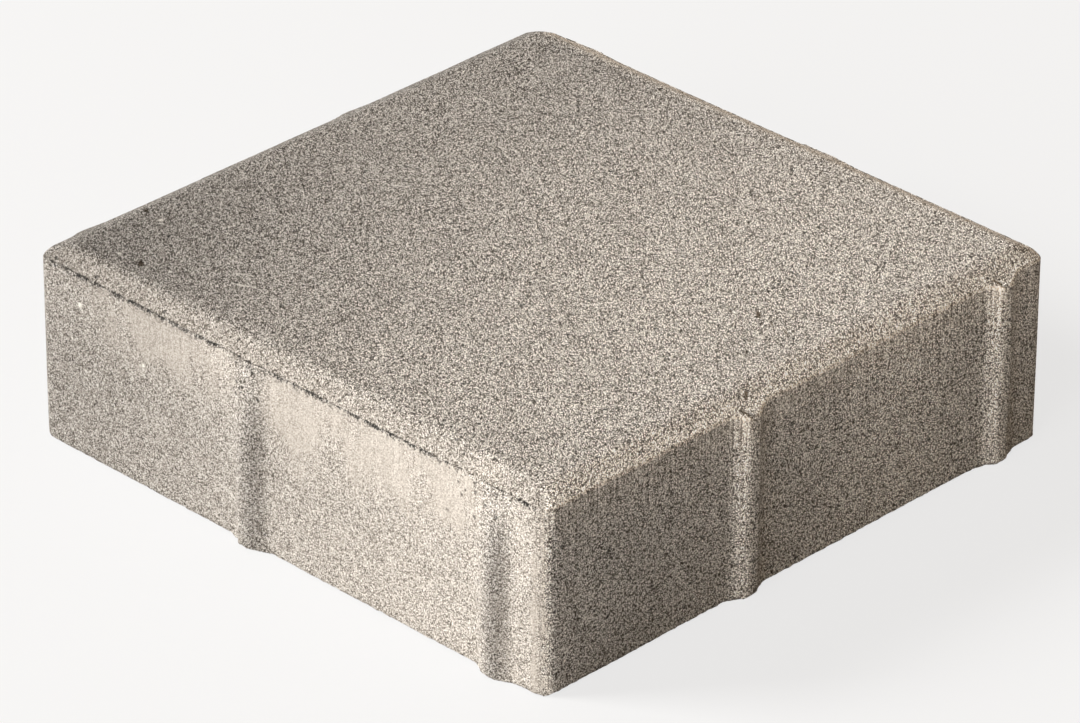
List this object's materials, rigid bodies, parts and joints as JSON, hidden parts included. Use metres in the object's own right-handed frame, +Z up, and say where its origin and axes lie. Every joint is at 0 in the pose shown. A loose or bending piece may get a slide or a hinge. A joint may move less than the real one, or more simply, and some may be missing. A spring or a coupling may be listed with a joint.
{
  "type": "paving stone",
  "caption": "Square concrete paving stone with a chamfered wearing face and upright spacer nibs on its sides, laid flat to make paths and yards.",
  "frame": {"origin": "centre of the underside", "axes": "+Z up through the thickness to the wearing face, X and Y along the sides"},
  "size_m": [0.2, 0.2, 0.06],
  "materials": {
    "concrete": "rough cast concrete, fine open grain"
  },
  "bodies": {
    "root": {"paving_stone": "concrete"}
  },
  "joints": []
}
